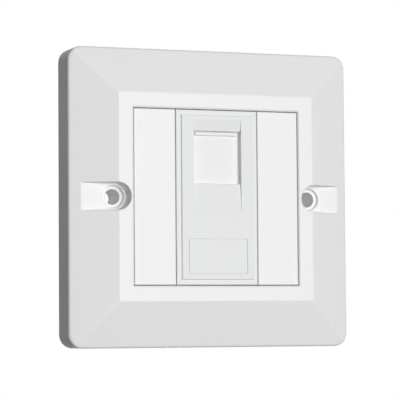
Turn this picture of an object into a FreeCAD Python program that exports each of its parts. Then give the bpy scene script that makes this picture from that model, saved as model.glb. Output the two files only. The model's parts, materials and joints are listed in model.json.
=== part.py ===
import FreeCAD, Part
import os
import re
import Sketcher

# Shuttered network outlet: a bevelled wall plate whose square opening holds two blanks and one
# socket module. Millimetres. X runs to the right, Y into the wall and Z up. The origin is the
# centre of the plate's back, on the wall. Heights in this file are measured off the wall, towards
# the room, so a height is minus Y.

SIZES = {
    # Wall plate
    "plate_size": 86.0,
    "plate_corner": 4.0,
    "plate_rim": 9.3,
    "plate_depth": 15.4,
    "plate_wall": 2.2,
    "bevel_wall": 2.2,
    "rim_round": 1.0,
    "frame_size": 59.4,
    "crease_round": 0.8,
    "opening_size": 50.6,
    "opening_round": 0.75,
    "skirt_wall": 1.6,
    "ledge_reach": 1.8,
    "ledge_wall": 1.8,
    # Screw pockets in the plate
    "fixing_spacing": 60.3,
    "screw_hole": 4.4,
    "head_recess": 6.4,
    "head_recess_depth": 1.1,
    "pocket_width": 8.0,
    "pocket_floor": 10.85,
    "pocket_wall": 1.5,
    "boss_size": 7.8,
    # Blanks and the module's front, which share the opening
    "unit_gap": 0.2,
    "unit_drop": 0.6,
    "unit_depth": 4.6,
    "unit_wall": 1.2,
    "unit_round": 0.25,
    "blank_face": 1.6,
    "hook_width": 7.0,
    "hook_wall": 1.2,
    "hook_catch": 0.8,
    "hook_nose": 1.5,
    "hook_gap": 0.2,
    # Module bezel
    "module_width": 24.9,
    "panel_margin": 1.5,
    "panel_rise": 0.6,
    "panel_wall": 1.9,
    "window_width": 14.6,
    "window_height": 15.25,
    "window_top": 19.1,
    "window_land": 1.2,
    "top_ramp": 3.2,
    "bottom_ramp": 8.05,
    "label_width": 18.2,
    "label_height": 10.2,
    "label_top": -11.9,
    "label_groove": 0.3,
    "label_depth": 0.25,
    "label_corner": 0.5,
    "rail_wall": 1.2,
    "side_wall": 1.4,
    "snap_spread": 24.0,
    "snap_length": 5.0,
    "snap_reach": 2.2,
    "snap_catch": 0.45,
    # Shutter and its spring
    "slide_gap": 0.15,
    "shutter_wall": 1.2,
    "shutter_lap": 0.9,
    "shutter_top_lap": 0.9,
    "shutter_bottom_lap": 1.75,
    "lip_height": 1.05,
    "lip_reach": 0.7,
    "lip_gap": 0.2,
    "lip_inset": 1.0,
    "lip_round": 0.3,
    "stop_gap": 1.0,
    "spring_size": 2.6,
    "spring_wire": 0.4,
    "spring_turns": 7.0,
    "spring_foot": 2.0,
    "spring_peg": 1.0,
    "peg_length": 1.6,
    "seat_wall": 1.5,
    # Carrier behind the bezel
    "carrier_wall": 1.8,
    "carrier_gap": 0.15,
    "sleeve_wall": 1.2,
    "sleeve_length": 6.0,
    "post_size": 3.2,
    "post_pin": 1.6,
    "post_spread": 15.0,
    "post_drop": 16.2,
    # Jack
    "jack_drop": 6.1,
    "jack_width": 15.2,
    "jack_height": 13.6,
    "jack_depth": 14.5,
    "jack_back_wall": 1.2,
    "plug_width": 11.9,
    "plug_height": 7.0,
    "plug_depth": 11.3,
    "plug_rise": 2.6,
    "latch_width": 6.3,
    "latch_height": 1.8,
    "tab_width": 3.6,
    "tab_height": 1.2,
    # Contacts
    "contact_pitch": 1.016,
    "contact_width": 0.46,
    "contact_wall": 0.3,
    "contact_bend": 0.5,
    "contact_slope": 22.0,
    "contact_leg": 8.2,
    "contact_front": 2.6,
    "contact_step": 2.54,
    "comb_gap": 0.1,
    "comb_length": 5.6,
    "comb_height": 1.5,
    "comb_slot": 0.56,
    # Circuit board
    "board_below": 18.4,
    "board_above": 8.4,
    "board_wall": 1.6,
    "board_edge": 0.4,
    "board_corner": 1.0,
    "board_hole": 0.86,
    "pin_stub": 1.0,
    # Punch-down terminal blocks
    "block_width": 5.8,
    "block_length": 20.0,
    "block_depth": 10.5,
    "block_drop": 3.2,
    "terminal_pitch": 4.5,
    "terminal_wall": 0.5,
    "terminal_width": 3.2,
    "terminal_length": 8.4,
    "terminal_gap": 0.1,
    "terminal_clear": 0.35,
    "terminal_pin": 0.6,
    "wire_slot": 0.9,
    "wire_slot_depth": 6.4,
    "wire_mouth": 2.6,
    "wire_mouth_depth": 1.4,
    "fork_slot": 0.36,
    "fork_depth": 5.6,
}

# Places worked out from the sizes
PLACES = {
    "opening_half": "opening_size / 2",
    "frame_half": "frame_size / 2",
    "plate_half": "plate_size / 2",
    "hollow_half": "plate_half - plate_wall",
    "bevel_run": "plate_half - frame_half",
    "bevel_rise": "plate_depth - plate_rim",
    "hollow_shoulder": "plate_rim + bevel_rise * plate_wall / bevel_run - bevel_wall",
    "hollow_top": "plate_depth - bevel_wall",
    "skirt_half": "opening_half + skirt_wall",
    "fixing_place": "fixing_spacing / 2",
    "unit_face": "plate_depth - unit_drop",
    "ledge_front": "unit_face - unit_depth",
    "ledge_back": "ledge_front - ledge_wall",
    "ledge_half": "opening_half - ledge_reach",
    "unit_half": "opening_half - unit_gap",
    "module_half": "module_width / 2",
    "blank_inner": "module_half + unit_gap",
    "blank_centre": "(blank_inner + unit_half) / 2",
    "hook_outer": "ledge_half - hook_gap",
    "hook_inner": "hook_outer - hook_wall",
    "hook_tip": "hook_outer + hook_catch",
    "panel_face": "unit_face + panel_rise",
    "panel_back": "panel_face - panel_wall",
    "panel_half": "module_half - panel_margin",
    "panel_top": "unit_half - panel_margin",
    "bezel_inside": "module_half - side_wall",
    "window_half": "window_width / 2",
    "window_bottom": "window_top - window_height",
    "window_edge": "panel_back + window_land",
    "label_bottom": "label_top - label_height",
    "shutter_front": "panel_back - slide_gap",
    "shutter_back": "shutter_front - shutter_wall",
    "shutter_half": "window_half + shutter_lap",
    "shutter_top": "window_top + shutter_top_lap",
    "shutter_bottom": "window_bottom - shutter_bottom_lap",
    "lip_top": "window_top - lip_gap",
    "lip_bottom": "lip_top - lip_height",
    "shutter_travel": "lip_bottom - window_bottom - stop_gap",
    "rail_inner": "shutter_half + slide_gap",
    "rail_outer": "rail_inner + rail_wall",
    "rail_top": "shutter_top + slide_gap",
    "rail_bottom": "shutter_bottom - shutter_travel",
    "spring_axis": "shutter_front - spring_size / 2",
    "spring_radius": "(spring_size - spring_wire) / 2",
    "spring_room": "spring_size / 2 + slide_gap",
    "foot_half": "spring_size / 2 - slide_gap",
    "carrier_front": "shutter_back - slide_gap",
    "carrier_back": "carrier_front - carrier_wall",
    "carrier_half": "bezel_inside - carrier_gap",
    "carrier_top": "hook_inner - carrier_gap",
    "seat_bottom": "carrier_gap - carrier_top",
    "seat_top": "seat_bottom + seat_wall",
    "slot_top": "shutter_bottom + spring_foot + slide_gap",
    "jack_centre": "window_top - jack_drop",
    "jack_half": "jack_width / 2",
    "jack_top": "jack_centre + jack_height / 2",
    "jack_bottom": "jack_centre - jack_height / 2",
    "jack_back": "carrier_front - jack_depth",
    "plug_top": "jack_top - plug_rise",
    "plug_bottom": "plug_top - plug_height",
    "latch_bottom": "plug_bottom - latch_height",
    "tab_bottom": "latch_bottom - tab_height",
    "plug_back": "carrier_front - plug_depth",
    "step_front": "plug_back - jack_back_wall",
    "comb_half": "4 * contact_pitch",
    "comb_room": "comb_half + comb_gap",
    "comb_bottom": "plug_top + comb_gap",
    "comb_top": "comb_bottom + comb_height",
    "comb_roof": "comb_top + comb_gap",
    "comb_front": "step_front + comb_length",
    "contact_run": "comb_top - contact_wall",
    "contact_nose": "carrier_front - contact_front",
    "contact_turn": "contact_nose - contact_bend",
    "step_middle": "(step_front + jack_back) / 2",
    "step_run": "contact_run - contact_step",
    "step_floor": "step_run - contact_wall - comb_gap",
    "block_spread": "jack_width + terminal_wall + 2 * terminal_clear",
    "board_front": "jack_back",
    "board_back": "board_front - board_wall",
    "board_width": "block_spread + block_width + 2 * board_edge",
    "board_half": "board_width / 2",
    "board_top": "jack_centre + board_above",
    "board_bottom": "jack_centre - board_below",
    "pin_end": "board_back - pin_stub",
    "post_place": "post_spread / 2",
    "post_level": "jack_centre - post_drop",
    "block_place": "block_spread / 2",
    "block_level": "jack_centre - block_drop",
    "block_back": "board_back - block_depth",
    "slot_floor": "block_back + wire_slot_depth",
    "terminal_end": "board_back - terminal_length",
}

doc = FreeCAD.newDocument("network_outlet")
sheet = doc.addObject("Spreadsheet::Sheet", "Sizes")
for row, (alias, value) in enumerate(SIZES.items(), start=1):
    sheet.set(f"A{row}", alias)
    sheet.set(f"B{row}", str(value))
    sheet.setAlias(f"B{row}", alias)
doc.recompute()


def formula(text):
    """Spell a formula out in cells of the sheet."""
    def spell(match):
        word = match.group(0)
        if word in SIZES:
            return "Sizes." + word
        if word in PLACES:
            return "(" + formula(PLACES[word]) + ")"
        return word
    return re.sub(r"[a-z][a-z_0-9]*", spell, text)


def number(text):
    """Value of a formula at the sheet's present sizes."""
    return float(sheet.evalExpression(formula(text)))


def new_body(label):
    body = doc.addObject("PartDesign::Body", label)
    body.Label = label
    return body


def sketch_on(body, role, offset):
    """Sketch on a plane parallel to one of the body's own planes."""
    sketch = body.newObject("Sketcher::SketchObject", "Sketch")
    plane = next(item for item in body.Origin.OriginFeatures if item.Role == role)
    sketch.AttachmentSupport = [(plane, "")]
    sketch.MapMode = "FlatFace"
    sketch.setExpression("AttachmentOffset.Base.z", formula(offset))
    return sketch


def fix(sketch, kind, geometry, point, text):
    """Hold a point's distance from the sketch's origin to a formula."""
    index = sketch.addConstraint(Sketcher.Constraint(kind, -1, 1, geometry, point, number(text)))
    sketch.setExpression(f"Constraints[{index}]", formula(text))


def draw(sketch, corners):
    """Closed outline through corners (x, y), where (x, y, centre x, centre y, way) starts an arc.

    The way is 1 for an arc that runs anticlockwise from its corner to the next, and -1 for one
    that runs clockwise.
    """
    first = sketch.GeometryCount
    points = [FreeCAD.Vector(number(corner[0]), number(corner[1]), 0) for corner in corners]
    ends = []
    for index, corner in enumerate(corners):
        start = points[index]
        stop = points[(index + 1) % len(points)]
        if len(corner) == 2:
            sketch.addGeometry(Part.LineSegment(start, stop))
            ends.append((1, 2))
            continue
        centre = FreeCAD.Vector(number(corner[2]), number(corner[3]), 0)
        circle = Part.Circle(centre, FreeCAD.Vector(0, 0, 1), (start - centre).Length)
        if corner[4] < 0:
            start, stop = stop, start
        sketch.addGeometry(Part.ArcOfCircle(circle, circle.parameter(start), circle.parameter(stop)))
        ends.append((1, 2) if corner[4] > 0 else (2, 1))
    for index, corner in enumerate(corners):
        after = (index + 1) % len(corners)
        joint = (first + index, ends[index][1], first + after, ends[after][0])
        sketch.addConstraint(Sketcher.Constraint("Coincident", *joint))
        fix(sketch, "DistanceX", first + index, ends[index][0], corner[0])
        fix(sketch, "DistanceY", first + index, ends[index][0], corner[1])
        if len(corner) > 2:
            across = abs(points[index].y - points[after].y) > abs(points[index].x - points[after].x)
            fix(sketch, "DistanceX" if across else "DistanceY", first + index, 3, corner[2 if across else 3])


def draw_circle(sketch, x, y, diameter):
    index = sketch.addGeometry(Part.Circle(
        FreeCAD.Vector(number(x), number(y), 0), FreeCAD.Vector(0, 0, 1), number(diameter) / 2))
    fix(sketch, "DistanceX", index, 3, x)
    fix(sketch, "DistanceY", index, 3, y)
    size = sketch.addConstraint(Sketcher.Constraint("Diameter", index, number(diameter)))
    sketch.setExpression(f"Constraints[{size}]", formula(diameter))


def rectangle(left, right, bottom, top):
    return [(left, bottom), (right, bottom), (right, top), (left, top)]


def square(half):
    return rectangle(f"-({half})", half, f"-({half})", half)


def rounded(left, right, bottom, top, radius):
    """Rectangle with four round corners, anticlockwise from its lower left side."""
    west, east = f"({left}) + ({radius})", f"({right}) - ({radius})"
    south, north = f"({bottom}) + ({radius})", f"({top}) - ({radius})"
    return [
        (west, bottom), (east, bottom, east, south, 1),
        (right, south), (right, north, east, north, 1),
        (east, top), (west, top, west, north, 1),
        (left, north), (left, south, west, south, 1),
    ]


def rounded_square(half, radius):
    return rounded(f"-({half})", half, f"-({half})", half, radius)


def octagon(x, y, diameter):
    """Outline of a small drilled hole, with eight sides."""
    return [(f"{x} + ({diameter}) / 2 * cos(45 * {step})", f"{y} + ({diameter}) / 2 * sin(45 * {step})")
            for step in range(8)]


def sketch_shapes(body, role, offset, shapes):
    """Sketch that holds outlines (lists of corners) and circles (x, y, diameter)."""
    sketch = sketch_on(body, role, offset)
    for shape in shapes:
        if isinstance(shape, tuple):
            draw_circle(sketch, *shape)
        else:
            draw(sketch, shape)
    return sketch


def pad(body, shapes, back, front):
    """Add front-view shapes between two heights off the wall."""
    feature = body.newObject("PartDesign::Pad", "Pad")
    feature.Profile = sketch_shapes(body, "XZ_Plane", back, shapes)
    feature.setExpression("Length", formula(f"({front}) - ({back})"))
    body.Tip = feature
    return feature


def cut(body, shapes, back, front):
    """Take front-view shapes away between two heights off the wall."""
    feature = body.newObject("PartDesign::Pocket", "Pocket")
    feature.Profile = sketch_shapes(body, "XZ_Plane", front, shapes)
    feature.setExpression("Length", formula(f"({front}) - ({back})"))
    body.Tip = feature
    return feature


def pad_side(body, shapes, middle, width):
    """Add side-view shapes, drawn over Y and Z, with their middle at a given X."""
    feature = body.newObject("PartDesign::Pad", "SidePad")
    feature.Profile = sketch_shapes(body, "YZ_Plane", middle, shapes)
    feature.Midplane = True
    feature.setExpression("Length", formula(width))
    body.Tip = feature
    return feature


def cut_side(body, shapes, middle, width):
    feature = body.newObject("PartDesign::Pocket", "SidePocket")
    feature.Profile = sketch_shapes(body, "YZ_Plane", middle, shapes)
    feature.Midplane = True
    feature.setExpression("Length", formula(width))
    body.Tip = feature
    return feature


def pad_top(body, shapes, middle, width):
    """Add top-view shapes, drawn over X and Y, with their middle at a given level."""
    feature = body.newObject("PartDesign::Pad", "TopPad")
    feature.Profile = sketch_shapes(body, "XY_Plane", middle, shapes)
    feature.Midplane = True
    feature.setExpression("Length", formula(width))
    body.Tip = feature
    return feature


def cut_top(body, shapes, middle, width):
    feature = body.newObject("PartDesign::Pocket", "TopPocket")
    feature.Profile = sketch_shapes(body, "XY_Plane", middle, shapes)
    feature.Midplane = True
    feature.setExpression("Length", formula(width))
    body.Tip = feature
    return feature


def repeat(body, axis, pitch, count):
    """Repeat the body's last cut along an axis of its sketch."""
    doc.recompute()
    first = body.Tip
    feature = body.newObject("PartDesign::LinearPattern", "Pattern")
    feature.Originals = [first]
    feature.Direction = (first.Profile[0], [axis])
    feature.Occurrences = count
    feature.setExpression("Length", formula(f"({pitch}) * {count - 1}"))
    body.Tip = feature
    return feature


def round_edges(body, radius, wanted):
    """Round the edges of the body's last feature that a test on their end points picks."""
    doc.recompute()
    base = body.Tip
    names = []
    for index, edge in enumerate(base.Shape.Edges, start=1):
        ends = [(vertex.X, -vertex.Y, vertex.Z) for vertex in edge.Vertexes]
        if wanted(ends):
            names.append(f"Edge{index}")
    feature = body.newObject("PartDesign::Fillet", "Fillet")
    feature.Base = (base, names)
    feature.setExpression("Radius", formula(radius))
    body.Tip = feature
    return feature


def at_height(text, within=None):
    """Test for edges that lie at one height, inside a square of a given half size if there is one."""
    height = number(text)
    reach = number(within) if within else None

    def wanted(ends):
        level = all(abs(point[1] - height) < 1e-4 for point in ends)
        inside = reach is None or all(max(abs(p[0]), abs(p[2])) < reach for p in ends)
        return level and inside
    return wanted


def behind(text):
    """Y of a height off the wall."""
    return f"-({text})"


def side_view(points):
    """Corners given as heights off the wall and levels, turned into Y and Z."""
    turned = []
    for point in points:
        corner = (behind(point[0]), point[1])
        if len(point) > 2:
            corner += (behind(point[2]), point[3], -point[4])
        turned.append(corner)
    return turned


def screw_pocket(side, grow):
    """U-shaped outline round a fixing hole, open towards the plate's edge."""
    middle = f"{side} * fixing_place"
    outer = f"{side} * plate_half"
    half = f"(pocket_width / 2 + {grow})"
    if side > 0:
        return [(outer, f"-{half}"), (outer, half), (middle, half, middle, "0", 1), (middle, f"-{half}")]
    return [(outer, f"-{half}"), (middle, f"-{half}", middle, "0", 1), (middle, half), (outer, half)]


def bevelled(body, half, radius, shoulder, top, top_half):
    """Square block with round corners whose four sides slope in above a shoulder."""
    pad(body, [rounded_square(half, radius)], "0", top)
    wedges = []
    for way in ("", "-"):
        edge, crest = f"{way}({half})", f"{way}({top_half})"
        wedges.append([(shoulder, edge), (top, edge), (top, crest)])
    cut_side(body, [side_view(wedge) for wedge in wedges], "0", f"2 * ({half})")
    cut_top(body, [[(level, behind(height)) for height, level in wedge] for wedge in wedges],
            "0", f"2 * ({half})")


def on_crease(ends):
    """Test for the edges where the plate's slopes meet each other and the flat frame."""
    heights = sorted(point[1] for point in ends)
    return heights[0] > number("plate_rim") and heights[1] > number("plate_depth") - 1e-4


def on_rim(ends):
    """Test for the edges where the plate's sides meet its slopes."""
    straight = number("plate_half - plate_corner")
    radius = number("plate_corner")
    for x, height, z in ends:
        out_x, out_z = max(abs(x) - straight, 0), max(abs(z) - straight, 0)
        if abs((out_x ** 2 + out_z ** 2) ** 0.5 - radius) > 1e-3 or height < number("plate_rim") - 1e-4:
            return False
    return True


def build_faceplate():
    """Bevelled shell: the outer form with its opening and pockets, less a hollow core."""
    form = new_body("plate_form")
    bevelled(form, "plate_half", "plate_corner", "plate_rim", "plate_depth", "frame_half")
    round_edges(form, "crease_round", on_crease)
    round_edges(form, "rim_round", on_rim)
    cut(form, [square("opening_half")], "ledge_front", "plate_depth")
    cut(form, [rectangle("-opening_half", "opening_half", "-ledge_half", "ledge_half")],
        "0", "ledge_front")
    round_edges(form, "opening_round", at_height("plate_depth", "opening_half + opening_round"))
    sides = (-1, 1)
    cut(form, [screw_pocket(side, "0") for side in sides], "pocket_floor", "plate_depth")
    cut(form, [(f"{side} * fixing_place", "0", "head_recess") for side in sides],
        "pocket_floor - head_recess_depth", "pocket_floor")
    cut(form, [(f"{side} * fixing_place", "0", "screw_hole") for side in sides], "0", "pocket_floor")

    core = new_body("plate_core")
    bevelled(core, "hollow_half", "plate_corner - plate_wall", "hollow_shoulder", "hollow_top", "frame_half")
    cut(core, [square("skirt_half")], "ledge_back", "hollow_top")
    cut(core, [screw_pocket(side, "pocket_wall") for side in sides],
        "pocket_floor - head_recess_depth - pocket_wall", "hollow_top")
    cut(core, [(f"{side} * fixing_place", "0", "boss_size") for side in sides], "0", "hollow_top")

    plate = doc.addObject("Part::Cut", "faceplate")
    plate.Label = "faceplate"
    plate.Base = form
    plate.Tool = core
    return plate


def hook(body, root, middle):
    """Sprung clips at the top and bottom of a unit, which snap behind the opening's ledges."""
    for way in ("", "-"):
        pad_side(body, [side_view([
            (root, f"{way}hook_inner"),
            ("ledge_back - hook_gap - hook_nose", f"{way}hook_inner"),
            ("ledge_back - hook_gap - hook_nose", f"{way}hook_outer"),
            ("ledge_back - hook_gap - hook_nose / 3", f"{way}hook_tip"),
            ("ledge_back - hook_gap", f"{way}hook_tip"),
            ("ledge_back - hook_gap", f"{way}hook_outer"),
            (root, f"{way}hook_outer"),
        ])], middle, "hook_width")


def build_blank(label, side):
    """Plain tray-shaped filler, face forward."""
    body = new_body(label)
    near = f"{side} * blank_inner"
    far = f"{side} * unit_half"
    left, right = (near, far) if side > 0 else (far, near)
    pad(body, [rectangle(left, right, "-unit_half", "unit_half")], "ledge_front", "unit_face")
    round_edges(body, "unit_round", at_height("unit_face"))
    cut(body, [rectangle(f"{left} + unit_wall", f"{right} - unit_wall",
                         "unit_wall - unit_half", "unit_half - unit_wall")],
        "ledge_front", "unit_face - blank_face")
    hook(body, "unit_face - blank_face / 2", f"{side} * blank_centre")
    return body


def snap_tongue(side):
    """Top-view outline of a tongue behind the bezel's side wall that catches the carrier's back."""
    inside, outside = f"{side} * bezel_inside", f"{side} * module_half"
    nose = f"{side} * (bezel_inside - snap_catch)"
    end = behind("ledge_front - snap_reach")
    catch = behind("carrier_back - slide_gap")
    return [
        (outside, behind("ledge_front + side_wall")), (outside, end), (inside, end),
        (nose, behind("carrier_back - slide_gap - snap_catch")), (nose, catch), (inside, catch),
        (inside, behind("ledge_front + side_wall")),
    ]


def spring_peg(body, bottom, top):
    """Short round peg that keeps an end of the spring in its place."""
    pad_top(body, [("0", behind("spring_axis"), "spring_peg")],
            f"(({bottom}) + ({top})) / 2", f"({top}) - ({bottom})")


def label_outline(inset):
    """Rounded outline of the label field, moved inwards."""
    side = f"label_width / 2 - {inset}"
    return rounded(f"-({side})", side, f"label_bottom + {inset}", f"label_top - {inset}",
                   f"label_corner - {inset}")


def build_bezel():
    """Module front: flange, raised panel, ramped window, label groove, shutter rails and clips."""
    body = new_body("module_bezel")
    pad(body, [rectangle("-module_half", "module_half", "-unit_half", "unit_half")],
        "ledge_front", "unit_face")
    round_edges(body, "unit_round", at_height("unit_face"))
    pad(body, [rectangle("-panel_half", "panel_half", "-panel_top", "panel_top")],
        "unit_face - unit_round", "panel_face")
    round_edges(body, "unit_round", at_height("panel_face"))
    cut(body, [rectangle("-bezel_inside", "bezel_inside", "unit_wall - unit_half",
                         "unit_half - unit_wall")], "ledge_front", "panel_back")
    cut_side(body, [side_view([
        ("panel_face", "window_bottom - bottom_ramp"),
        ("window_edge", "window_bottom"),
        ("ledge_front", "window_bottom"),
        ("ledge_front", "window_top"),
        ("window_edge", "window_top"),
        ("panel_face", "window_top + top_ramp"),
    ])], "0", "window_width")
    cut(body, [label_outline("0"), label_outline("label_groove")], "panel_face - label_depth", "panel_face")
    for side in (-1, 1):
        inner, outer = f"{side} * rail_inner", f"{side} * rail_outer"
        left, right = (inner, outer) if side > 0 else (outer, inner)
        pad(body, [rectangle(left, right, "rail_bottom", "rail_top + rail_wall")],
            "carrier_front", "panel_back + window_land")
    pad(body, [rectangle("-rail_inner", "rail_inner", "rail_top", "rail_top + rail_wall")],
        "carrier_front", "panel_back + window_land")
    pad(body, [rectangle("-foot_half", "foot_half", "seat_bottom", "seat_top")],
        "spring_axis - spring_size / 2", "panel_back + window_land")
    hook(body, "panel_back + window_land", "0")
    for side in (-1, 1):
        for way in ("", "-"):
            pad_top(body, [snap_tongue(side)], f"{way}snap_spread / 2", "snap_length")
    spring_peg(body, "seat_top - seat_wall / 2", "seat_top + peg_length")
    return body


def build_shutter():
    """Sliding cover with a finger lip on its front and a foot that bears on the spring."""
    body = new_body("shutter")
    pad(body, [rectangle("-shutter_half", "shutter_half", "shutter_bottom", "shutter_top")],
        "shutter_back", "shutter_front")
    pad(body, [rectangle("lip_inset - window_half", "window_half - lip_inset", "lip_bottom", "lip_top")],
        "shutter_back", "shutter_front + lip_reach")
    round_edges(body, "lip_round", at_height("shutter_front + lip_reach"))
    pad(body, [rectangle("-foot_half", "foot_half", "shutter_bottom", "shutter_bottom + spring_foot")],
        "spring_axis - spring_size / 2", "shutter_front")
    spring_peg(body, "shutter_bottom - peg_length", "shutter_bottom + spring_foot / 2")
    return body


def build_spring():
    """Coil of square wire set on edge, which stands on the bezel's seat under the shutter's foot."""
    body = new_body("shutter_spring")
    sketch = sketch_on(body, "XZ_Plane", "spring_axis")
    half = "spring_wire / 2"
    low = "seat_top + spring_wire / 2"
    draw(sketch, [
        (f"spring_radius - {half}", low), ("spring_radius", f"{low} - {half}"),
        (f"spring_radius + {half}", low), ("spring_radius", f"{low} + {half}"),
    ])
    coil = body.newObject("PartDesign::AdditiveHelix", "Coil")
    coil.Profile = sketch
    coil.ReferenceAxis = (sketch, ["V_Axis"])
    coil.Mode = "height-turns-growth"
    coil.setExpression("Height", formula("shutter_bottom - seat_top - spring_wire"))
    coil.setExpression("Turns", formula("spring_turns"))
    body.Tip = coil
    return body


def build_carrier():
    """Plate behind the shutter with a sleeve for the jack, a slot for the spring and board posts."""
    body = new_body("module_carrier")
    pad(body, [rectangle("-carrier_half", "carrier_half", "-carrier_top", "carrier_top")],
        "carrier_back", "carrier_front")
    wall = "(carrier_gap + sleeve_wall)"
    pad(body, [rectangle(f"-jack_half - {wall}", f"jack_half + {wall}",
                         f"jack_bottom - {wall}", f"jack_top + {wall}")],
        "carrier_back - sleeve_length", "carrier_back")
    cut(body, [rectangle("-jack_half - carrier_gap", "jack_half + carrier_gap",
                         "jack_bottom - carrier_gap", "jack_top + carrier_gap")],
        "carrier_back - sleeve_length", "carrier_front")
    cut(body, [rectangle("-spring_room", "spring_room", "-carrier_top", "slot_top")],
        "carrier_back - sleeve_length", "carrier_front")
    for side in (-1, 1):
        middle = f"{side} * post_place"
        pad(body, [(middle, "post_level", "post_size")], "board_front", "carrier_back")
        pad(body, [(middle, "post_level", "post_pin")], "pin_end", "board_front")
    return body


def build_jack():
    """Socket body with a plug cavity stepped for the latch and a chamber for the contacts."""
    body = new_body("jack_housing")
    pad(body, [rectangle("-jack_half", "jack_half", "jack_bottom", "jack_top")],
        "jack_back", "carrier_front")
    cut(body, [rectangle("-plug_width / 2", "plug_width / 2", "plug_bottom", "plug_top")],
        "plug_back", "carrier_front")
    cut(body, [rectangle("-latch_width / 2", "latch_width / 2", "latch_bottom", "plug_bottom")],
        "plug_back", "carrier_front")
    cut(body, [rectangle("-tab_width / 2", "tab_width / 2", "tab_bottom", "latch_bottom")],
        "plug_back", "carrier_front")
    cut(body, [rectangle("-comb_room", "comb_room", "plug_top", "comb_roof")],
        "jack_back", "contact_nose + contact_bend")
    cut(body, [rectangle("-comb_room", "comb_room", "step_floor", "plug_top")],
        "jack_back", "step_front")
    return body


def contact_place(index):
    return f"({index} - 4.5) * contact_pitch"


def build_comb():
    """Comb that lies in the jack's roof, with one groove for each contact."""
    body = new_body("contact_comb")
    pad(body, [rectangle("-comb_half", "comb_half", "comb_bottom", "comb_top")],
        "step_front", "comb_front")
    cut(body, [rectangle(f"{contact_place(1)} - comb_slot / 2", f"{contact_place(1)} + comb_slot / 2",
                         "contact_run - contact_wall / 2", "comb_top + comb_gap")],
        "step_front", "comb_front")
    repeat(body, "H_Axis", "contact_pitch", 8)
    return body


def build_contact(index):
    """Bent strip: a tail through the board, a run in the comb, a turn and a sloping spring leg.

    Every other tail steps down, so that the tails stand in two rows on the board.
    """
    body = new_body(f"contact_{index}")
    half = "contact_wall / 2"
    centre = ("contact_turn", "contact_run - contact_bend")

    def turned(radius, leg):
        across = f"contact_turn + ({radius}) * sin(contact_slope) - {leg} * cos(contact_slope)"
        level = f"contact_run - contact_bend - ({radius}) * cos(contact_slope) - {leg} * sin(contact_slope)"
        return across, level

    outer, inner = f"contact_bend + {half}", f"contact_bend - {half}"
    strip = [
        ("contact_turn", f"contact_run + {half}", *centre, -1),
        turned(outer, "0"),
        turned(outer, "contact_leg"),
        turned(inner, "contact_leg"),
        (*turned(inner, "0"), *centre, 1),
        ("contact_turn", f"contact_run - {half}"),
    ]
    if index % 2:
        strip += [("pin_end", f"contact_run - {half}"), ("pin_end", f"contact_run + {half}")]
    else:
        strip += [
            (f"step_middle + {half}", f"contact_run - {half}"),
            (f"step_middle + {half}", f"step_run - {half}"),
            ("pin_end", f"step_run - {half}"),
            ("pin_end", f"step_run + {half}"),
            (f"step_middle - {half}", f"step_run + {half}"),
            (f"step_middle - {half}", f"contact_run + {half}"),
        ]
    pad_side(body, [side_view(strip)], contact_place(index), "contact_width")
    return body


def terminal_level(row):
    return f"(block_level + ({row} - 1.5) * terminal_pitch)"


def build_board():
    """Circuit board drilled for the contact tails, the terminal pins and the carrier's posts."""
    body = new_body("circuit_board")
    pad(body, [rounded("-board_half", "board_half", "board_bottom", "board_top", "board_corner")],
        "board_back", "board_front")
    posts = [octagon(f"{side} * post_place", "post_level", "post_pin + 4 * carrier_gap") for side in (-1, 1)]
    cut(body, posts, "board_back", "board_front")
    for first, level in ((1, "contact_run"), (2, "step_run")):
        cut(body, [octagon(contact_place(first), level, "board_hole")], "board_back", "board_front")
        repeat(body, "H_Axis", "2 * contact_pitch", 4)
    for side in (-1, 1):
        cut(body, [octagon(f"{side} * block_place", terminal_level(0), "board_hole")],
            "board_back", "board_front")
        repeat(body, "V_Axis", "terminal_pitch", 4)
    return body


def build_block(label, side):
    """Punch-down block with a flared wire slot and a blade chamber for each terminal."""
    body = new_body(label)
    middle = f"{side} * block_place"
    pad(body, [rectangle(f"{middle} - block_width / 2", f"{middle} + block_width / 2",
                         "block_level - block_length / 2", "block_level + block_length / 2")],
        "block_back", "board_back")
    level = terminal_level(0)
    cut_side(body, [side_view([
        ("block_back", f"{level} - wire_mouth / 2"),
        ("block_back + wire_mouth_depth", f"{level} - wire_slot / 2"),
        ("slot_floor", f"{level} - wire_slot / 2"),
        ("slot_floor", f"{level} + wire_slot / 2"),
        ("block_back + wire_mouth_depth", f"{level} + wire_slot / 2"),
        ("block_back", f"{level} + wire_mouth / 2"),
    ])], middle, "2 * block_width")
    repeat(body, "V_Axis", "terminal_pitch", 4)
    cut(body, [rectangle(f"{middle} - terminal_wall / 2 - terminal_gap",
                         f"{middle} + terminal_wall / 2 + terminal_gap",
                         f"{level} - terminal_width / 2 - terminal_gap",
                         f"{level} + terminal_width / 2 + terminal_gap")], "block_back", "board_back")
    repeat(body, "V_Axis", "terminal_pitch", 4)
    return body


def build_terminal(index, side, row):
    """Forked blade that cuts into a core of the cable, with a pin through the board."""
    body = new_body(f"terminal_{index}")
    level = terminal_level(row)
    wide, slot, pin = "terminal_width / 2", "fork_slot / 2", "terminal_pin / 2"
    foot = "board_back - terminal_gap"
    pad_side(body, [side_view([
        (foot, f"{level} - {wide}"),
        ("terminal_end", f"{level} - {wide}"),
        ("terminal_end", f"{level} - {wide} / 2"),
        ("terminal_end + wire_mouth_depth", f"{level} - {slot}"),
        ("terminal_end + fork_depth", f"{level} - {slot}"),
        ("terminal_end + fork_depth", f"{level} + {slot}"),
        ("terminal_end + wire_mouth_depth", f"{level} + {slot}"),
        ("terminal_end", f"{level} + {wide} / 2"),
        ("terminal_end", f"{level} + {wide}"),
        (foot, f"{level} + {wide}"),
        (foot, f"{level} + {pin}"),
        ("board_front + pin_stub", f"{level} + {pin}"),
        ("board_front + pin_stub", f"{level} - {pin}"),
        (foot, f"{level} - {pin}"),
    ])], f"{side} * block_place", "terminal_wall")
    return body


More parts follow.
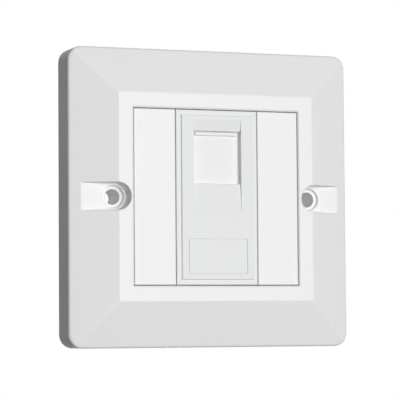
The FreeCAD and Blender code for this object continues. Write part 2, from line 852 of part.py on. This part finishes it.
nodes = [
    build_faceplate(),
    build_blank("blank_left", -1),
    build_blank("blank_right", 1),
    build_bezel(),
    build_shutter(),
    build_spring(),
    build_carrier(),
    build_jack(),
    build_comb(),
    build_board(),
    build_block("terminal_block_left", -1),
    build_block("terminal_block_right", 1),
]
nodes += [build_contact(index) for index in range(1, 9)]
nodes += [build_terminal(1 + row + 2 * (side + 1), side, row) for side in (-1, 1) for row in range(4)]
doc.recompute()

for item in doc.Objects:
    if "Invalid" in item.State or "Error" in item.State:
        raise RuntimeError(f"{item.Name} failed: {item.State}")
    if item.isDerivedFrom("PartDesign::Pocket"):
        if item.BaseFeature.Shape.Volume - item.Shape.Volume < 1e-6:
            raise RuntimeError(f"{item.Name} cuts nothing")
for node in nodes:
    if node.Shape.isNull() or not node.Shape.isValid() or len(node.Shape.Solids) != 1:
        raise RuntimeError(f"{node.Label} is not one valid solid")

os.makedirs("parts", exist_ok=True)
for node in nodes:
    node.Shape.exportStep(f"parts/{node.Label}.step")
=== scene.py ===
import json
import math

import bmesh
import bpy
import numpy as np
from mathutils import Matrix, Vector


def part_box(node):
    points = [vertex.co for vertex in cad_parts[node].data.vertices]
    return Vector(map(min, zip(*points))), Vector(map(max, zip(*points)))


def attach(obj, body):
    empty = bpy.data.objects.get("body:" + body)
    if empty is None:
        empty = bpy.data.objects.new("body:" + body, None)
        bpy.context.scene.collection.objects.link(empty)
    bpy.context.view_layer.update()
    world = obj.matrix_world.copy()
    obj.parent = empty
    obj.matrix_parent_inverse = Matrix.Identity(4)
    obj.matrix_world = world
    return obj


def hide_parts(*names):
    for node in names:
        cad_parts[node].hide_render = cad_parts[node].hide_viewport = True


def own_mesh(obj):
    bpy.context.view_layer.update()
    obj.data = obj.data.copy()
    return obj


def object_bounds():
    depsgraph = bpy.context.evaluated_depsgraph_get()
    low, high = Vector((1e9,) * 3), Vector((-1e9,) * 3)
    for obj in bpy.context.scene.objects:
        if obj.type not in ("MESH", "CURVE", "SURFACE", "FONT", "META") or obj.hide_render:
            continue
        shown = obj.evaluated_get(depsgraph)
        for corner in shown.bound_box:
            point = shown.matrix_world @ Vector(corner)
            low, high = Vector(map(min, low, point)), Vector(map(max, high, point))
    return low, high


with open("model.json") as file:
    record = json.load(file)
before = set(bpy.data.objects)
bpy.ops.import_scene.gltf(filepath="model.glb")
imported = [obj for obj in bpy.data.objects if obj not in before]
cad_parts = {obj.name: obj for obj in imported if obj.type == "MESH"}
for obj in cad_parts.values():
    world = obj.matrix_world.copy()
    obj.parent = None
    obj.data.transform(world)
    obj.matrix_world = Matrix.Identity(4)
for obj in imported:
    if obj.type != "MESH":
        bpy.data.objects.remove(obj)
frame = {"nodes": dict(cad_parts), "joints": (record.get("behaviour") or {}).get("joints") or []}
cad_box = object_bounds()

# Looks of a shuttered network outlet: finishes of its pieces, a round-wire shutter spring, the
# solder on its board, and a plain studio. Metres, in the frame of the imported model: X to the
# right, Y into the wall, Z up.

MM = 0.001

# Camera: degrees, metres, pixels, and shares of the picture's width
CAMERA_AZIMUTH = -20.73
CAMERA_ELEVATION = -3.40
CAMERA_ROLL = -0.42
CAMERA_DISTANCE = 0.6192
CAMERA_SENSOR = 36.0
CAMERA_FOCAL_PIXELS = 2107.0
CAMERA_CLIP = (0.05, 20.0)
PICTURE_WIDTH = 400.0
PICTURE_SHIFT = (1.1 / PICTURE_WIDTH, 0.45 / PICTURE_WIDTH)

# Studio
FLOOR_DROP = 0.60
FLOOR_SIZE = 6.0
FLOOR_PALE = (0.35, 0.35, 0.35, 1.0)
FLOOR_WHITENESS = 0.7
WHITE = (1.0, 1.0, 1.0, 1.0)
ROOM_LEVEL = 0.04
LAMPS = {
    # name: azimuth, elevation, distance, width, height, power, spread in degrees
    "key_softbox": (3.0, 1.5, 1.0, 0.6, 0.6, 9.3, 180.0),
    "top_softbox": (0.0, 80.0, 0.5, 0.3, 0.3, 0.20, 180.0),
    "back_softbox": (158.0, 0.0, 1.1, 0.45, 0.4, 1.2, 70.0),
}

# Plastics: linear colours, shine, and sizes of their noise
PLATE_PALE = (0.862, 0.862, 0.860, 1.0)
PLATE_SHADE = (0.838, 0.840, 0.842, 1.0)
MODULE_PALE = (0.772, 0.784, 0.778, 1.0)
MODULE_SHADE = (0.752, 0.766, 0.760, 1.0)
SHUTTER_PALE = (0.816, 0.816, 0.814, 1.0)
SHUTTER_SHADE = (0.796, 0.798, 0.798, 1.0)
NYLON_PALE = (0.800, 0.790, 0.750, 1.0)
NYLON_SHADE = (0.765, 0.752, 0.705, 1.0)
BLACK_PALE = (0.030, 0.030, 0.032, 1.0)
BLACK_SHADE = (0.018, 0.018, 0.020, 1.0)
PLASTIC_SHINE = 0.45
DRIFT_SIZE = 45 * MM
RIPPLE_SIZE = 1.6 * MM
EDGE_SAMPLES = 8

# Metals: linear colours, sizes of their noise, and depths of their bump
GOLD = (0.830, 0.580, 0.230, 1.0)
TIN = (0.720, 0.710, 0.680, 1.0)
TIN_DULL = (0.560, 0.555, 0.540, 1.0)
STEEL = (0.600, 0.600, 0.610, 1.0)
STEEL_DARK = (0.420, 0.420, 0.430, 1.0)
TIN_STARTS = 3.0 * MM
TIN_COVERS = 1.5 * MM
DRAWN_SIZE = 0.5 * MM
DRAWN_STRETCH = (6.0, 0.4, 1.0)
BLOOM_SIZE = 1.2 * MM
OIL_SIZE = 2.0 * MM
STREAK_SIZE = 0.05
STREAK_STRETCH = (0.05, 1.0, 1.0)
PLATING_DEPTH = 0.02 * MM
STREAK_DEPTH = 0.01 * MM

# Circuit board: linear colours, tracks, and noise of its mask
MASK_GREEN = (0.010, 0.115, 0.040, 1.0)
TRACE_GREEN = (0.030, 0.230, 0.085, 1.0)
LAMINATE_TAN = (0.420, 0.360, 0.170, 1.0)
TRACE_WIDTH = 0.55 * MM
TRACE_DEPTH = 0.04 * MM
WEAVE_SIZE = 0.5 * MM
MASK_SIZE = 12 * MM

# Spring wire: turns, and where in a closed turn the pitch starts to open and over how much of it
WIRE = 0.4 * MM
WIRE_SIDES = 14
WIRE_STEPS = 900
SPRING_TURNS = 7.0
CLOSED_TURNS = 1.0
OPENS_AT = 0.7
OPENS_OVER = 0.6

# Solder: its hollow's power, its depth under the board's face, and the two kinds of joint
SOLDER_SIDES = 28
SOLDER_STEPS = 12
SOLDER_HOLLOW = 2.6
SOLDER_SINK = 0.04 * MM
CONTACT_JOINT = {"pad": 0.62 * MM, "pin": 0.27 * MM, "height": 0.75 * MM}
TERMINAL_JOINT = {"pad": 0.55 * MM, "pin": 0.36 * MM, "height": 0.7 * MM}

WELD = 1e-8
POLES = 8
# The terminal that each contact's track runs to
TRACK_ENDS = [3, 2, 1, 0, 4, 5, 6, 7]


class Signal:
    """A socket of a node tree. Arithmetic on it adds Math nodes, and node() adds any other node."""

    def __init__(self, socket):
        self.socket = socket

    def node(self, kind, settings, sockets, output=0):
        """Add a node to the same tree: its settings first, then its sockets' values and links."""
        tree = self.socket.id_data
        made = tree.nodes.new(kind)
        for name, value in settings.items():
            setattr(made, name, value)
        for name, value in sockets.items():
            if isinstance(value, Signal):
                tree.links.new(value.socket, made.inputs[name])
            else:
                made.inputs[name].default_value = value
        return Signal(made.outputs[output]) if made.outputs else None

    def math(self, operation, *values):
        return self.node("ShaderNodeMath", {"operation": operation}, dict(enumerate(values)))

    def __add__(self, other):
        return self.math("ADD", self, other)

    def __sub__(self, other):
        return self.math("SUBTRACT", self, other)

    def __rsub__(self, other):
        return self.math("SUBTRACT", other, self)

    def __mul__(self, other):
        return self.math("MULTIPLY", self, other)

    def __lt__(self, other):
        return self.math("LESS_THAN", self, other)

    def __or__(self, other):
        return self.math("MAXIMUM", self, other)

    def __abs__(self):
        return self.math("ABSOLUTE", self)

    __radd__ = __add__
    __rmul__ = __mul__

    def mix(self, low, high):
        """Colour between two others, by this share."""
        return self.node("ShaderNodeMix", {"data_type": "RGBA"}, {0: self, 6: low, 7: high}, 2)

    def noise(self, size, detail=2.0, stretch=(1.0, 1.0, 1.0)):
        """Noise over this place, with features of a size in its units, stretched along the axes."""
        place = self.node("ShaderNodeMapping", {}, {"Vector": self, "Scale": stretch})
        return self.node("ShaderNodeTexNoise", {},
                         {"Vector": place, "Scale": 1.0 / size, "Detail": detail})

    def parts(self):
        """The three parts of a vector."""
        made = self.node("ShaderNodeSeparateXYZ", {}, {"Vector": self})
        return [Signal(output) for output in made.socket.node.outputs]

    def bump(self, depth, strength, **base):
        """Normal of a surface that rises by this share of a depth in metres, over a base Normal."""
        return self.node("ShaderNodeBump", {},
                         {"Height": self, "Distance": depth, "Strength": strength, **base})


def new_finish(name):
    """Empty material, and its Object coordinates to build on."""
    material = bpy.data.materials.new(name)
    material.use_nodes = True
    material.node_tree.nodes.clear()
    coordinates = material.node_tree.nodes.new("ShaderNodeTexCoord")
    return material, Signal(coordinates.outputs["Object"])


def surface(place, sockets):
    """Finish a material with one shader that has these sockets."""
    shader = place.node("ShaderNodeBsdfPrincipled", {}, sockets)
    place.node("ShaderNodeOutputMaterial", {}, {"Surface": shader})


def moulded_plastic(name, pale, shade, rough, grain, depth, edge):
    """Moulded plastic: a slow drift of colour, a faint ripple of the tool, a fine grain, soft edges."""
    material, place = new_finish(name)
    drift = place.noise(DRIFT_SIZE)
    ripple = place.noise(RIPPLE_SIZE)
    speck = place.noise(grain, 3.0)
    rounded = place.node("ShaderNodeBevel", {"samples": EDGE_SAMPLES}, {"Radius": edge})
    surface(place, {
        "Base Color": drift.mix(shade, pale),
        "Roughness": rough + 0.10 * (drift - 0.5) + 0.10 * (speck - 0.5),
        "Specular IOR Level": PLASTIC_SHINE,
        "Normal": (0.6 * ripple + 0.4 * speck).bump(depth, 0.35, Normal=rounded),
    })
    return material


def plated_contacts(tail):
    """Spring contacts: gold at the front, fading to tin a little before their tails."""
    material, place = new_finish("gold_plating")
    depth = place.parts()[1]
    drawn = place.noise(DRAWN_SIZE, 2.0, DRAWN_STRETCH)
    tinned = place.node("ShaderNodeMapRange", {},
                        {0: depth, 1: tail - TIN_STARTS, 2: tail - TIN_COVERS, 3: 0.0, 4: 1.0})
    surface(place, {
        "Base Color": tinned.mix(GOLD, TIN),
        "Metallic": 1.0,
        "Roughness": 0.20 + 0.14 * drawn + 0.12 * tinned,
        "Normal": drawn.bump(PLATING_DEPTH, 0.4),
    })
    return material


def dull_metal(name, bright, dull, rough, grain):
    """Plated or soldered metal with a mottled bloom."""
    material, place = new_finish(name)
    bloom = place.noise(BLOOM_SIZE, 3.0)
    speck = place.noise(grain, 2.0)
    surface(place, {
        "Base Color": bloom.mix(dull, bright),
        "Metallic": 1.0,
        "Roughness": rough + 0.16 * bloom,
        "Normal": speck.bump(PLATING_DEPTH, 0.3),
    })
    return material


def drawn_wire():
    """Spring wire: streaks along the wire, which its map runs down, and a dark oiled bloom."""
    material, place = new_finish("drawn_wire")
    along = Signal(place.socket.node.outputs["UV"])
    streak = along.noise(STREAK_SIZE, 3.0, STREAK_STRETCH)
    bloom = place.noise(OIL_SIZE)
    surface(place, {
        "Base Color": (0.5 * streak + 0.5 * bloom).mix(STEEL_DARK, STEEL),
        "Metallic": 1.0,
        "Roughness": 0.22 + 0.18 * streak,
        "Normal": streak.bump(STREAK_DEPTH, 0.4),
    })
    return material


def masked_board(tracks):
    """Green solder mask over copper tracks, with bare laminate on the board's cut edges."""
    material, place = new_finish("solder_mask")
    facing = Signal(place.socket.node.outputs["Normal"]).parts()[1]
    across, _, level = place.parts()
    track = None
    for start, stop in tracks:
        middle, half = (start + stop) / 2, abs(stop - start) / 2 + TRACE_WIDTH / 2
        inside = (abs(across - middle[0]) < half[0]) * (abs(level - middle[1]) < half[1])
        track = inside if track is None else track | inside
    weave = place.noise(WEAVE_SIZE, 2.0)
    bloom = place.noise(MASK_SIZE)
    edge = abs(facing) < 0.5
    mask = (track * 0.85 + 0.15 * bloom).mix(MASK_GREEN, TRACE_GREEN)
    surface(place, {
        "Base Color": edge.mix(mask, LAMINATE_TAN),
        "Roughness": 0.24 + 0.10 * weave + 0.35 * edge,
        "Normal": (track + 0.25 * weave).bump(TRACE_DEPTH, 0.6),
    })
    return material


def skin(name, rings, material):
    """Closed surface through rings of points.

    The array has an axis of separate solids, one of rings along each, one of points round each
    ring, and one of coordinates. The first and the last ring shrink to a point.
    """
    solids, rows, columns = rings.shape[:3]
    number = np.arange(solids * rows * columns).reshape(solids, rows, columns)
    turned = np.roll(number, -1, axis=2)
    quads = np.stack([number[:, :-1], turned[:, :-1], turned[:, 1:], number[:, 1:]], axis=-1)
    mesh = bpy.data.meshes.new(name)
    mesh.from_pydata(rings.reshape(-1, 3), [], quads.reshape(-1, 4))
    along = np.broadcast_to(np.linspace(0, 1, rows)[None, :, None], number.shape)
    around = np.broadcast_to(np.linspace(0, 1, columns, endpoint=False)[None, None], number.shape)
    layer = mesh.uv_layers.new(name="wire_map")
    pairs = np.stack([along, around], axis=-1).reshape(-1, 2)
    layer.data.foreach_set("uv", pairs[quads.reshape(-1)].astype(np.float32).ravel())
    work = bmesh.new()
    work.from_mesh(mesh)
    bmesh.ops.remove_doubles(work, verts=work.verts, dist=WELD)
    bmesh.ops.recalc_face_normals(work, faces=work.faces)
    work.to_mesh(mesh)
    work.free()
    mesh.polygons.foreach_set("use_smooth", np.ones(len(mesh.polygons), bool))
    piece = bpy.data.objects.new(name, mesh)
    bpy.context.scene.collection.objects.link(piece)
    piece.data.materials.append(material)
    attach(piece, "outlet")
    return piece


def spring_coil(material):
    """Compression spring of round wire with a closed turn at each end.

    The wire's middle goes round the axis at a constant radius. It climbs by one wire in a closed
    turn and by an even pitch between, with a smooth change from one to the other. A circle is
    carried along it on the outward and the crosswise direction, and shrinks to a point at the ends.
    """
    low, high = (np.array(corner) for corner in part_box("shutter_spring"))
    centre = (low + high) / 2
    free = high[2] - low[2]
    radius = (high[0] - low[0]) / 2 - WIRE / 2
    turns = np.linspace(0, SPRING_TURNS + 2 * CLOSED_TURNS, WIRE_STEPS)
    reach = np.minimum(turns, turns[-1] - turns)
    opened = np.clip((reach - OPENS_AT * CLOSED_TURNS) / (OPENS_OVER * CLOSED_TURNS), 0, 1)
    opened = opened ** 2 * (3 - 2 * opened)
    closed_climb = np.cumsum(1 - opened) * WIRE
    open_climb = np.cumsum(opened)
    room = (free - WIRE) * (WIRE_STEPS - 1) / turns[-1] - closed_climb[-1]
    climb = closed_climb + open_climb * room / open_climb[-1]
    climb -= climb[0]
    angle = 2 * np.pi * turns
    outward = np.stack([np.cos(angle), np.sin(angle), 0 * angle], axis=-1)
    middle = centre + radius * outward
    middle[:, 2] = low[2] + WIRE / 2 + climb * (free - WIRE) / climb[-1]
    ahead = np.gradient(middle, axis=0)
    ahead /= np.linalg.norm(ahead, axis=1, keepdims=True)
    crosswise = np.cross(ahead, outward)
    travel = np.arange(WIRE_STEPS) * radius * angle[-1] / (WIRE_STEPS - 1)
    to_end = np.clip(np.minimum(travel, travel[-1] - travel) / (WIRE / 2), 0, 1)
    thick = WIRE / 2 * np.sqrt(1 - (1 - to_end) ** 2)
    turn = np.linspace(0, 2 * np.pi, WIRE_SIDES, endpoint=False)
    ring = (outward[:, None] * np.cos(turn)[None, :, None]
            + crosswise[:, None] * np.sin(turn)[None, :, None])
    piece = skin("spring_coil", (middle[:, None] + thick[:, None, None] * ring)[None],
                 material)
    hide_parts("shutter_spring")
    joint = next(item for item in frame["joints"] if item["name"] == "shutter_slide")
    (free - joint["range_m"][1]) / free
    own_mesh(piece)


def solder_joints(name, pins, face, way, pad, pin, height, material):
    """Fillets of solder round pins that stand out of one face of the board.

    Each is turned about its pin: the radius falls from the pad's to the pin's as a power of the
    height that is left, and closes to a point inside the pin and just under the board's face.
    """
    share = np.linspace(0, 1, SOLDER_STEPS)
    radius = np.concatenate([[0, pad], pin + (pad - pin) * (1 - share) ** SOLDER_HOLLOW, [0]])
    rise = np.concatenate([[-SOLDER_SINK, -SOLDER_SINK], height * share, [height]])
    turn = np.linspace(0, 2 * np.pi, SOLDER_SIDES, endpoint=False)
    profile = np.stack([
        radius[:, None] * np.cos(turn),
        np.broadcast_to(way * rise[:, None], (len(rise), SOLDER_SIDES)),
        radius[:, None] * np.sin(turn),
    ], axis=-1)
    feet = np.stack([pins[:, 0], np.full(len(pins), face), pins[:, 1]], axis=-1)
    skin(name, feet[:, None, None] + profile[None], material)


def pin_places(kind, beyond):
    """X and Z of the middle of each pin of a kind, where it has come out of the board's face."""
    places = []
    for pole in range(1, POLES + 1):
        vertices = frame["nodes"][f"{kind}_{pole}"].data.vertices
        points = np.array([vertex.co for vertex in vertices])
        tip = points[beyond(points[:, 1])]
        places.append((tip.min(axis=0) + tip.max(axis=0))[[0, 2]] / 2)
    return np.array(places)


def direction(azimuth, elevation):
    """Way from the object towards an azimuth and elevation, azimuth 0 being straight in front."""
    turn, rise = math.radians(azimuth), math.radians(elevation)
    return Vector((math.sin(turn) * math.cos(rise), -math.cos(turn) * math.cos(rise), math.sin(rise)))


def softbox(name, azimuth, elevation, distance, width, height, power, spread):
    """Area lamp that faces the object from a direction."""
    data = bpy.data.lights.new(name, "AREA")
    data.shape = "RECTANGLE"
    data.size, data.size_y, data.energy = width, height, power
    data.spread = math.radians(spread)
    lamp = bpy.data.objects.new(name, data)
    bpy.context.scene.collection.objects.link(lamp)
    way = direction(azimuth, elevation)
    lamp.location = way * distance
    lamp.rotation_euler = way.to_track_quat("Z", "Y").to_euler()


def seen_ray(signal):
    """1 for rays from the camera and for those that gloss or glass sends on, else 0."""
    path = signal.node("ShaderNodeLightPath", {}, {}).socket.node
    straight, mirrored, passed = (Signal(path.outputs[f"Is {kind} Ray"])
                                  for kind in ("Camera", "Glossy", "Transmission"))
    return straight | mirrored | passed


def studio():
    """Pale floor well below the outlet, soft lamps, and a dim room that looks white, also in metal."""
    half = FLOOR_SIZE / 2
    level = cad_box[0].z - FLOOR_DROP
    mesh = bpy.data.meshes.new("floor")
    mesh.from_pydata([(-half, -half, level), (half, -half, level), (half, half, level),
                      (-half, half, level)], [], [(0, 1, 2, 3)])
    floor = bpy.data.objects.new("floor", mesh)
    bpy.context.scene.collection.objects.link(floor)
    material, place = new_finish("studio_floor")
    lit = place.node("ShaderNodeBsdfDiffuse", {}, {"Color": FLOOR_PALE})
    white = place.node("ShaderNodeEmission", {}, {"Color": WHITE})
    whiteness = FLOOR_WHITENESS * seen_ray(place)
    shown = place.node("ShaderNodeMixShader", {}, {0: whiteness, 1: lit, 2: white})
    place.node("ShaderNodeOutputMaterial", {}, {"Surface": shown})
    mesh.materials.append(material)
    for name, settings in LAMPS.items():
        softbox(name, *settings)
    world = bpy.data.worlds.new("studio_world")
    bpy.context.scene.world = world
    world.use_nodes = True
    world.node_tree.nodes.clear()
    light = world.node_tree.nodes.new("ShaderNodeBackground")
    light.inputs["Color"].default_value = WHITE
    glow = Signal(light.outputs[0])
    strength = ROOM_LEVEL + (1 - ROOM_LEVEL) * seen_ray(glow)
    world.node_tree.links.new(strength.socket, light.inputs["Strength"])
    glow.node("ShaderNodeOutputWorld", {}, {"Surface": glow})


def photo_camera():
    """Camera on a long lens, aimed at the origin from the left and a little below."""
    turn, roll = math.radians(CAMERA_AZIMUTH), math.radians(CAMERA_ROLL)
    back = direction(CAMERA_AZIMUTH, CAMERA_ELEVATION)
    right = Vector((math.cos(turn), math.sin(turn), 0))
    up = back.cross(right)
    tilted_right = math.cos(roll) * right + math.sin(roll) * up
    tilted_up = math.cos(roll) * up - math.sin(roll) * right
    data = bpy.data.cameras.new("photo_camera")
    data.sensor_width = CAMERA_SENSOR
    data.lens = CAMERA_FOCAL_PIXELS / PICTURE_WIDTH * CAMERA_SENSOR
    data.shift_x, data.shift_y = PICTURE_SHIFT
    data.clip_start, data.clip_end = CAMERA_CLIP
    camera = bpy.data.objects.new("photo_camera", data)
    bpy.context.scene.collection.objects.link(camera)
    turned = Matrix((tilted_right, tilted_up, back)).transposed()
    camera.matrix_world = Matrix.Translation(back * CAMERA_DISTANCE) @ turned.to_4x4()
    bpy.context.scene.camera = camera


board_front, board_back = (corner.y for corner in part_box("circuit_board"))
tails = pin_places("contact", lambda depth: depth > board_back + SOLDER_SINK)
pins = pin_places("terminal", lambda depth: depth < board_front - SOLDER_SINK)
ends = pins[TRACK_ENDS]
corners = np.stack([tails[:, 0], ends[:, 1]], axis=-1)
tracks = [*zip(tails, corners), *zip(corners, ends)]

finishes = {
    "plate_white": moulded_plastic(
        "plate_plastic", PLATE_PALE, PLATE_SHADE,
        rough=0.46, grain=0.20 * MM, depth=0.03 * MM, edge=0.5 * MM),
    "module_white": moulded_plastic(
        "module_plastic", MODULE_PALE, MODULE_SHADE,
        rough=0.48, grain=0.16 * MM, depth=0.04 * MM, edge=0.14 * MM),
    "shutter_white": moulded_plastic(
        "shutter_plastic", SHUTTER_PALE, SHUTTER_SHADE,
        rough=0.46, grain=0.20 * MM, depth=0.03 * MM, edge=0.2 * MM),
    "block_white": moulded_plastic(
        "nylon", NYLON_PALE, NYLON_SHADE,
        rough=0.46, grain=0.12 * MM, depth=0.04 * MM, edge=0.1 * MM),
    "jack_black": moulded_plastic(
        "black_plastic", BLACK_PALE, BLACK_SHADE,
        rough=0.48, grain=0.12 * MM, depth=0.05 * MM, edge=0.1 * MM),
    "contact_gold": plated_contacts(board_front),
    "terminal_tin": dull_metal("tin_plating", TIN, TIN_DULL, rough=0.24, grain=0.08 * MM),
    "board_green": masked_board(tracks),
    "spring_steel": drawn_wire(),
}
solder = dull_metal("solder", TIN, TIN_DULL, rough=0.14, grain=0.3 * MM)

for node in frame["nodes"].values():
    for slot in node.material_slots:
        slot.material = finishes[slot.material.name]

spring_coil(finishes["spring_steel"])
solder_joints("contact_solder", tails, board_back, 1, **CONTACT_JOINT, material=solder)
solder_joints("terminal_solder", pins, board_front, -1, **TERMINAL_JOINT, material=solder)
studio()
photo_camera()
bpy.context.scene.view_settings.view_transform = "Standard"
